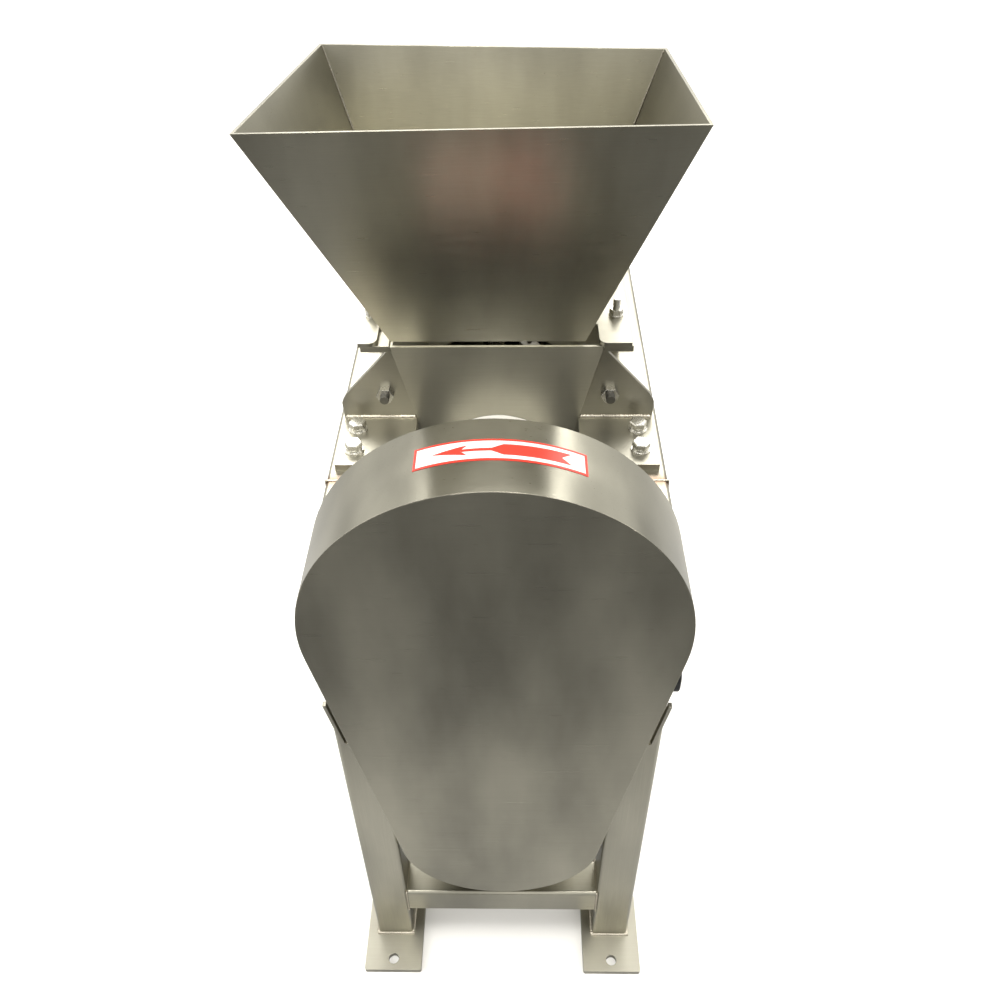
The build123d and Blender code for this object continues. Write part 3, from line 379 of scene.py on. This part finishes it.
def thread(bm, centre, way, length_m, radius, pitch):
    """A helical ridge round a stud that starts at centre and runs along way."""
    side = way.orthogonal().normalized()
    up = way.cross(side)
    per_turn = 14
    count = int(length_m / pitch * per_turn)
    path = []
    for k in range(count + 1):
        a = 2 * math.pi * k / per_turn
        path.append(centre + way * (k * pitch / per_turn) + radius * (math.cos(a) * side + math.sin(a) * up))
    radii = [0.3 * pitch * min(1.0, 0.2 + k / 10, 0.2 + (count - k) / 10) for k in range(count + 1)]
    tube(bm, path, radii, 5)


def belt_path(top, bottom, step_count):
    """The outline round both shafts at two radii, in (x, z), anticlockwise from the upper right tangent."""
    lean = math.asin((top - bottom) / (ROTOR_HEIGHT - MOTOR_HEIGHT))
    points = []
    for centre, radius, start, end in ((ROTOR_HEIGHT, top, -lean, math.pi + lean),
                                       (MOTOR_HEIGHT, bottom, math.pi + lean, 2 * math.pi - lean)):
        for k in range(step_count + 1):
            a = start + (end - start) * k / step_count
            points.append((radius * math.cos(a), centre + radius * math.sin(a)))
    return points


# ---- operators ---------------------------------------------------------------------------------------

class DESTEMMER_OT_stage(bpy.types.Operator):
    """Pale floor, soft studio light and the camera"""

    bl_idname = "destemmer.stage"
    bl_label = "Stage"

    def execute(self, context):
        self.floor()
        self.sky(context)
        self.lamp("rear_softbox", (0, 2.9, 3.4), (0, 0, 0.9), 4.6, 1.6, 150)
        self.lamp("front_softbox", (0, -0.5, 2.9), (0, -0.1, 0.8), 1.4, 1.0, 46)
        self.lamp("left_softbox", (-2.6, -0.6, 1.7), (0, 0, 0.6), 1.6, 2.0, 34)
        self.lamp("right_softbox", (2.8, 0.2, 2.0), (0, 0, 0.6), 1.6, 2.0, 34)
        self.camera(context)
        context.scene.view_settings.view_transform = "Standard"
        return {"FINISHED"}

    def floor(self):
        """A floor that is pale to the eye. In what the steel mirrors, the floor carries a painted pool of
        light: pale close by and painted dark further in front, as in a room where the lamps reach only the
        floor round the machine."""
        made, tree, output = blank("studio_floor_painted_light_pool")
        seen = add(tree, "ShaderNodeLightPath").outputs["Is Camera Ray"]
        place = add(tree, "ShaderNodeTexCoord").outputs["Object"]
        nearness = add(tree, "ShaderNodeSeparateXYZ", {"Vector": place}).outputs["Y"]
        # Painted light pool: outside camera rays the floor's colour darkens further in front, standing in for
        # lamps that do not reach there.
        painted_light_pool = add(tree, "ShaderNodeMapRange", {"Value": nearness},
                   {"From Min": -0.86, "From Max": -0.56, "To Min": 0.12, "To Max": 0.42},
                   interpolation_type="SMOOTHSTEP")
        matt = add(tree, "ShaderNodeBsdfDiffuse", {"Color": painted_light_pool.outputs[0]})
        pale = add(tree, "ShaderNodeBsdfDiffuse", values={"Color": tuple(colours().floor) + (1,)})
        both = add(tree, "ShaderNodeMixShader", {0: seen, 1: matt.outputs[0], 2: pale.outputs[0]})
        tree.links.new(both.outputs[0], output.inputs["Surface"])
        bm = bmesh.new()
        bmesh.ops.create_grid(bm, x_segments=1, y_segments=1, size=20)
        mesh = bpy.data.meshes.new("studio_floor")
        bm.to_mesh(mesh)
        bm.free()
        mesh.materials.append(made)
        floor = bpy.data.objects.new("studio_floor", mesh)
        floor.location.z = -0.0005
        bpy.context.scene.collection.objects.link(floor)

    def sky(self, context):
        """A soft dome, a little brighter at the horizon than overhead."""
        world = bpy.data.worlds.new("studio_dome")
        context.scene.world = world
        world.use_nodes = True
        tree = world.node_tree
        tree.nodes.clear()
        output = tree.nodes.new("ShaderNodeOutputWorld")
        way = add(tree, "ShaderNodeTexCoord").outputs["Generated"]
        height = add(tree, "ShaderNodeSeparateXYZ", {"Vector": way}).outputs["Z"]
        ramp = add(tree, "ShaderNodeMapRange", {"Value": height}, {"To Min": 1.2, "To Max": 1.15})
        light = add(tree, "ShaderNodeBackground", {"Strength": ramp.outputs[0]},
                    {"Color": (1.0, 0.985, 0.95, 1)})
        tree.links.new(light.outputs[0], output.inputs["Surface"])

    def lamp(self, name, place, target, width, depth, watts):
        """A rectangular softbox turned towards a target."""
        light = bpy.data.lights.new(name, "AREA")
        light.shape = "RECTANGLE"
        light.size, light.size_y, light.energy = width, depth, watts
        light.color = (1.0, 0.985, 0.955)
        lamp = bpy.data.objects.new(name, light)
        lamp.location = place
        lamp.rotation_euler = (Vector(target) - Vector(place)).to_track_quat("-Z", "Y").to_euler()
        bpy.context.scene.collection.objects.link(lamp)

    def camera(self, context):
        """A camera held above and in front of the machine, looking down at it."""
        pitch, yaw, roll = (math.radians(a) for a in (42.36, -1.41, -0.98))
        ahead = Vector((math.sin(yaw) * math.cos(pitch), math.cos(yaw) * math.cos(pitch), -math.sin(pitch)))
        right = Vector((math.cos(yaw), -math.sin(yaw), 0))
        up = right.cross(ahead)
        turned_right = math.cos(roll) * right + math.sin(roll) * up
        turned_up = math.cos(roll) * up - math.sin(roll) * right
        data = bpy.data.cameras.new("camera")
        data.sensor_width = 36.0
        data.lens = 34.05
        camera = bpy.data.objects.new("camera", data)
        place = Matrix((turned_right, turned_up, -ahead)).transposed().to_4x4()
        place.translation = Vector((0.02163, -0.94187, 1.40153))
        camera.matrix_world = place
        context.scene.collection.objects.link(camera)
        context.scene.camera = camera


class DESTEMMER_OT_frame_steel(bpy.types.Operator):
    """Brushed square tube, plates and their welds"""

    bl_idname = "destemmer.frame_steel"
    bl_label = "Frame"

    def execute(self, context):
        rgb = colours().tube
        splice = (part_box("side_rail_left")[0].y + SPLICE_FROM_FRONT, TINT_REACH)
        # Brushed 304 tube: marks run along each tube, so its highlight is drawn out across it.
        upright = steel("brushed_304_tube_upright", rgb, "z", 0.34, anisotropic=0.2)
        lengthwise = steel("brushed_304_tube_lengthwise", rgb, "y", 0.34, anisotropic=0.2)
        # The same tube where the upper rails are spliced, with the weld's heat tint left beside the bead.
        tinted = steel("heat_tinted_304_tube", rgb, "y", 0.34, anisotropic=0.2, tint_at=splice)
        crosswise = steel("brushed_304_tube_crosswise", rgb, "x", 0.3, anisotropic=0.1)
        # Mill-finish 304 plate: no strong brush direction and a slightly cloudy face.
        plate = steel("mill_finish_304_plate", colours().plate, "x", 0.36, marks=0.25, anisotropic=0.1)
        finish_nodes([f"leg_{e}_{s}" for e in ("front", "rear") for s in ("left", "right")], upright)
        finish_nodes(["side_rail_left", "side_rail_right"], tinted)
        finish_nodes(["lower_rail_left", "lower_rail_right"], lengthwise)
        finish_nodes(["lower_crossbar_front", "lower_crossbar_rear", "motor_cross_tubes"], crosswise)
        finish_nodes(["foot_plates", "hopper_foot_left", "hopper_foot_right", "throat_flange",
                      "front_end_plate", "rear_end_plate", "front_foot_plate", "rear_foot_plates",
                      "guard_brackets", "rear_wall", "motor_plate"], plate)
        self.welds()
        return {"FINISHED"}

    def welds(self):
        """Fillet beads where tubes meet each other and the plates."""
        # A brushed TIG bead: rippled, a little brighter and yellower than the steel beside it.
        made = steel("brushed_tig_bead", colours().weld, "x", 0.36, patches=0.3, marks=0.2, anisotropic=0.0)
        rng = random.Random(11)
        radius = sizes().bead
        bm = bmesh.new()
        for end in ("front", "rear"):
            for side in ("left", "right"):
                low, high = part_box(f"leg_{end}_{side}")
                foot = [Vector((x, y, low.z)) for x, y in ((low.x, low.y), (high.x, low.y), (high.x, high.y),
                                                          (low.x, high.y))]
                bead(bm, foot, radius, rng, closed=True)
        for kind in ("side", "lower"):
            for side in ("left", "right"):
                low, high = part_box(f"{kind}_rail_{side}")
                for y in (low.y, high.y):
                    bead(bm, square_y(low.x, high.x, y, low.z, high.z), BUTT_SHARE * radius, rng, closed=True)
        for end in ("front", "rear"):
            low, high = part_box(f"lower_crossbar_{end}")
            for x in (low.x, high.x):
                loop = [Vector((x, y, z)) for y, z in ((low.y, low.z), (high.y, low.z), (high.y, high.z),
                                                      (low.y, high.z))]
                bead(bm, loop, CROSSBAR_SHARE * radius, rng, closed=True)
        for low, high in solid_boxes("motor_cross_tubes"):
            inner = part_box("lower_rail_right")[0].x
            for y in (low.y, high.y):
                for x0, x1 in ((inner, high.x), (low.x, -inner)):
                    run = [Vector((x0, y, low.z)), Vector((x1, y, low.z))]
                    bead(bm, run, MOTOR_TUBE_SHARE * radius, rng)
        piece("frame_welds", bm, made)

        bm = bmesh.new()
        rng = random.Random(12)
        for plate, front in (("front_end_plate", True), ("rear_end_plate", False)):
            low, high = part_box(plate)
            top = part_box("front_foot_plate")[1].z
            y = low.y if front else high.y
            for s in (-1, 1):
                run = [Vector((s * PLATE_WELD_START, y, top)), Vector((s * (high.x - 0.003), y, top))]
                bead(bm, run, radius, rng)
        for side in ("left", "right"):
            low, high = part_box(f"side_rail_{side}")
            y = low.y + SPLICE_FROM_FRONT
            loop = square_y(low.x, high.x, y, low.z, high.z)
            bead(bm, loop, SPLICE_SHARE * radius, rng, closed=True)
        piece("plate_welds", bm, made)


class DESTEMMER_OT_hopper(bpy.types.Operator):
    """Brushed sheet of hopper, throat, drum and chutes, with the hopper's corner welds"""

    bl_idname = "destemmer.hopper"
    bl_label = "Hopper and drum"

    def execute(self, context):
        rgb = colours().sheet
        # Brushed 304 sheet, marks level round the hopper: reflections are drawn out upright.
        level = steel("brushed_304_sheet", rgb, "x", 0.3, patches=0.26, marks=0.35)
        # Painted light: throat and chutes take the hopper's sheet colour made 1.25 times lighter, a lit copy of
        # the same sheet.
        painted_lighter_duct = steel("brushed_304_throat_sheet_painted_lighter", toned(rgb, 1.25)[:3], "x", 0.42, patches=0.16, marks=0.3)
        lengthwise = steel("brushed_304_drum_sheet", rgb, "y", 0.33, patches=0.16)
        finish_nodes(["hopper"], level)
        finish_nodes(["throat", "must_chute", "stem_chute"], painted_lighter_duct)
        finish_nodes(["drum_trough", "drum_cover", "drum_bridge", "drum_cage"], lengthwise)
        self.seams()
        return {"FINISHED"}

    def seams(self):
        """Thin corner welds inside the hopper's four corners."""
        made = steel("dark_corner_weld", toned(colours().weld, 0.55)[:3], "z", 0.42, patches=0.3, marks=0.2,
                     anisotropic=0.0)
        bm = bmesh.new()
        rng = random.Random(21)
        radius = sizes().seam
        middle = (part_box("hopper")[0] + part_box("hopper")[1]) / 2
        for sx in (-1, 1):
            for sy in (-1, 1):
                top = extreme("hopper", (sx, sy, 2.0))
                foot = extreme("hopper", (sx * 0.2, sy * 0.2, -2.0))
                inward = Vector((middle.x - top.x, middle.y - top.y, 0)).normalized() * SEAM_INSET
                bead(bm, [foot + inward + Vector((0, 0, 0.003)), top + inward - Vector((0, 0, 0.002))],
                     radius, rng)
        piece("hopper_corner_welds", bm, made)


class DESTEMMER_OT_guard(bpy.types.Operator):
    """Belt guard, its edge weld and the turning-direction label"""

    bl_idname = "destemmer.guard"
    bl_label = "Belt guard"

    def execute(self, context):
        made = steel("brushed_304_guard_sheet", colours().sheet, "x", 0.3, patches=0.26, marks=0.22,
                     anisotropic=0.6)
        finish_nodes(["belt_guard"], made)
        bright = steel("polished_edge_weld", colours().weld, "x", 0.25, patches=0.1, marks=0.1,
                       anisotropic=0.0)
        bm = bmesh.new()
        rng = random.Random(31)
        inset = 0.0006
        outline = belt_path(GUARD_TOP_RADIUS - inset, GUARD_BOTTOM_RADIUS - inset, 60)
        path = [Vector((x, GUARD_LOW.y + inset, z)) for x, z in outline]
        tube(bm, path, [inset * (1.1 + rng.uniform(-0.08, 0.08)) for _ in path], 6, closed=True)
        piece("guard_edge_weld", bm, bright)
        self.label()
        return {"FINISHED"}

    def label(self):
        """A red bordered label with a white field and an arrow for the direction of turning."""
        # Screen-printed vinyl film: smooth, slightly glossy, ink and film at one level.
        red = coat("red_screen_ink", colours().label_red, 0.35, mottling=0.03, relief_mm=0.003)
        white = coat("white_vinyl_film", colours().label_white, 0.3, mottling=0.02, relief_mm=0.003)
        finish_nodes(["arrow_label"], red)
        low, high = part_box("arrow_label")
        skin_radius = high.z - ROTOR_HEIGHT
        left, right = (skin_radius * math.asin(x / skin_radius) for x in (low.x, high.x))
        border = sizes().label_border
        field = [(left + border, low.y + border), (right - border, low.y + border),
                 (right - border, high.y - border), (left + border, high.y - border)]
        self.wrapped("label_field", field, skin_radius + 0.00005, white)
        middle = (low.y + high.y) / 2
        reach = (right - left) / LABEL_UNITS
        half = [(-53, 0), (-21.5, 6.9), (-26.5, 1.7), (-0.6, 2.0), (9.7, 7.3), (69.5, 7.5), (60.5, 0)]
        upper = [(u * reach, middle + v * MM) for u, v in half]
        lower = [(u * reach, middle - v * MM) for u, v in half[-2:0:-1]]
        self.wrapped("label_arrow", upper + lower, skin_radius + 0.0001, red)

    def wrapped(self, name, outline, radius, made):
        """A flat outline of (distance round the guard, y) laid on the guard's round top."""
        bm = bmesh.new()
        face = bm.faces.new([bm.verts.new((u, v, 0)) for u, v in outline])
        bmesh.ops.triangulate(bm, faces=[face])
        start = min(u for u, _ in outline)
        end = max(u for u, _ in outline)
        cuts = int((end - start) / 0.003)
        for k in range(1, cuts):
            place = (start + (end - start) * k / cuts, 0, 0)
            everything = bm.verts[:] + bm.edges[:] + bm.faces[:]
            bmesh.ops.bisect_plane(bm, geom=everything, plane_co=place, plane_no=(1, 0, 0), dist=1e-7)
        top = bm.faces[:]
        grown = bmesh.ops.extrude_face_region(bm, geom=top)["geom"]
        for vert in (g for g in grown if isinstance(g, bmesh.types.BMVert)):
            vert.co.z += 0.0001
        for vert in bm.verts:
            angle = vert.co.x / radius
            level = radius + vert.co.z - 0.0001
            vert.co = (level * math.sin(angle), vert.co.y, ROTOR_HEIGHT + level * math.cos(angle))
        piece(name, bm, made, smooth=False)


class DESTEMMER_OT_fasteners(bpy.types.Operator):
    """Threads, washers and heads"""

    bl_idname = "destemmer.fasteners"
    bl_label = "Fasteners"

    def execute(self, context):
        # A2 stainless, cold-formed and tumbled: brighter than the sheet, with no brush direction.
        made = steel("tumbled_a2_stainless", colours().bolt, "z", 0.26, patches=0.12, marks=0.15,
                     anisotropic=0.0)
        finish_nodes(["hopper_bolts", "hopper_nuts", "frame_bolts", "frame_washers", "tie_rod_nuts",
                      "motor_bolts"], made)
        # Greased stud: the same steel under a dark film that has caught grinding dust.
        greased = steel("greased_a2_stud", toned(colours().bolt, 0.3)[:3], "z", 0.34, patches=0.3, marks=0.15,
                        anisotropic=0.0)
        finish_nodes(["tie_rods"], greased)
        bm = bmesh.new()
        nut_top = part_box("hopper_nuts")[1].z
        pitch = sizes().m8_pitch
        for low, high in solid_boxes("hopper_bolts"):
            middle = (low + high) / 2
            start = Vector((middle.x, middle.y, nut_top))
            thread(bm, start, Vector((0, 0, 1)), high.z - nut_top - 0.4 * pitch, 0.00375, pitch)
        piece("hopper_bolt_threads", bm, made)
        bm = bmesh.new()
        pitch = sizes().m10_pitch
        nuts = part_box("tie_rod_nuts")
        for low, high in solid_boxes("tie_rods"):
            middle = (low + high) / 2
            for y, end, way in ((nuts[0].y, low.y, -1), (nuts[1].y, high.y, 1)):
                start = Vector((middle.x, y, middle.z))
                thread(bm, start, Vector((0, way, 0)), abs(end - y) - 0.4 * pitch, 0.0046, pitch)
        piece("tie_rod_threads", bm, greased)
        return {"FINISHED"}


class DESTEMMER_OT_drive(bpy.types.Operator):
    """Shafts, rotor, bearings, pulleys and belts"""

    bl_idname = "destemmer.drive"
    bl_label = "Drive"

    def execute(self, context):
        # Lathe-turned stainless: fine rings round the shaft.
        turned = steel("turned_stainless", colours().turned, "x", 0.24, patches=0.1, marks=0.3,
                       anisotropic=0.2)
        ground = steel("ground_bearing_steel", colours().bolt, "x", 0.15, patches=0.05, marks=0.1,
                       anisotropic=0.0)
        finish_nodes(["main_shaft", "crushing_rotor", "destemming_paddles", "motor_shaft",
                      "rear_bearing_housing"], turned)
        # Bead-blasted cast stainless: pale, matt and evenly bright under any lamp.
        blasted = coat("bead_blasted_cast_stainless", colours().casting, 0.6, metallic=0.1, mottling=0.05,
                       grit_mm=0.7, relief_mm=0.04)
        finish_nodes(["front_bearing_housing"], blasted)
        finish_nodes(["front_bearing", "rear_bearing"], ground)
        # Machined grey cast iron: dark, granular and only half metallic to the eye.
        iron = coat("machined_grey_iron", colours().iron, 0.45, metallic=0.8, mottling=0.15, grit_mm=0.8,
                    relief_mm=0.05)
        finish_nodes(["big_pulley", "small_pulley"], iron)
        # Chloroprene: matt black with a faint cloth texture.
        rubber = coat("belt_chloroprene", colours().belt, 0.7, mottling=0.1, grit_mm=0.9, relief_mm=0.08)
        finish_nodes(["front_seal"], rubber)
        self.belts(rubber)
        return {"FINISHED"}

    def belts(self, made):
        """Two wedge belts, wide outside and narrow inside."""
        outside, inside = 0.0, BELT_DEPTH
        wide, narrow = BELT_HALF_WIDTHS
        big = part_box("big_pulley")[1].x
        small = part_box("small_pulley")[1].x
        for number, (low, high) in enumerate(solid_boxes("v_belts")):
            y = (low.y + high.y) / 2
            outer = belt_path(big - outside, small - outside, 48)
            inner = belt_path(big - inside, small - inside, 48)
            rings = []
            for (xo, zo), (xi, zi) in zip(outer, inner):
                rings.append([Vector((xo, y - wide, zo)), Vector((xo, y + wide, zo)),
                              Vector((xi, y + narrow, zi)), Vector((xi, y - narrow, zi))])
            bm = bmesh.new()
            skin(bm, rings, closed=True)
            belt = piece(("front_belt", "rear_belt")[number], bm, made, smooth=False)
            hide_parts("v_belts")


class DESTEMMER_OT_motor(bpy.types.Operator):
    """Enamelled motor with its fan and terminal box"""

    bl_idname = "destemmer.motor"
    bl_label = "Motor"

    def execute(self, context):
        # Machine enamel on cast aluminium: satin, with a slight orange peel.
        enamel = coat("satin_machine_enamel", colours().enamel, 0.38, mottling=0.05, grit_mm=1.8,
                      relief_mm=0.05,
                      clear=0.15)
        finish_nodes(["motor_housing", "motor_end_shields", "motor_cowl", "motor_terminal_box"], enamel)
        core = coat("varnished_core_steel", colours().iron, 0.5, metallic=0.7, mottling=0.1)
        finish_nodes(["motor_stator"], core)
        nylon = coat("black_nylon", colours().black, 0.55, mottling=0.05, grit_mm=0.7, relief_mm=0.03)
        finish_nodes(["motor_fan"], nylon)
        return {"FINISHED"}


class DESTEMMER_OT_switch(bpy.types.Operator):
    """Switch cover and its two buttons"""

    bl_idname = "destemmer.switch"
    bl_label = "Switch"

    def execute(self, context):
        # Moulded plastics: the cover is matt with a fine spark-eroded texture, the buttons are glossy.
        finish_nodes(["switch_box"], coat("textured_black_abs", colours().black, 0.5, grit_mm=0.6,
                                          relief_mm=0.04))
        finish_nodes(["start_button"], coat("glossy_green_abs", colours().green, 0.25, relief_mm=0.005))
        finish_nodes(["stop_button"], coat("glossy_red_abs", colours().red, 0.25, relief_mm=0.005))
        return {"FINISHED"}


OPERATORS = (DESTEMMER_OT_stage, DESTEMMER_OT_frame_steel, DESTEMMER_OT_hopper, DESTEMMER_OT_guard,
             DESTEMMER_OT_fasteners, DESTEMMER_OT_drive, DESTEMMER_OT_motor, DESTEMMER_OT_switch)


class DESTEMMER_PT_panel(bpy.types.Panel):
    """Lists the pieces of the machine"""

    bl_idname = "DESTEMMER_PT_panel"
    bl_label = "Grape Crusher Destemmer"
    bl_space_type = "VIEW_3D"
    bl_region_type = "UI"
    bl_category = "Destemmer"

    def draw(self, context):
        for operator in OPERATORS:
            self.layout.operator(operator.bl_idname, text=operator.bl_label)


CLASSES = (DestemmerColours, DestemmerSizes) + OPERATORS + (DESTEMMER_PT_panel,)


def register():
    for cls in CLASSES:
        bpy.utils.register_class(cls)
    bpy.types.Scene.destemmer_colours = PointerProperty(type=DestemmerColours)
    bpy.types.Scene.destemmer_sizes = PointerProperty(type=DestemmerSizes)


def unregister():
    del bpy.types.Scene.destemmer_sizes
    del bpy.types.Scene.destemmer_colours
    for cls in reversed(CLASSES):
        bpy.utils.unregister_class(cls)


def main():
    """Builds the stage and every piece in turn."""
    register()
    for operator in OPERATORS:
        group, name = operator.bl_idname.split(".")
        getattr(getattr(bpy.ops, group), name)()


if __name__ == "__main__":
    main()
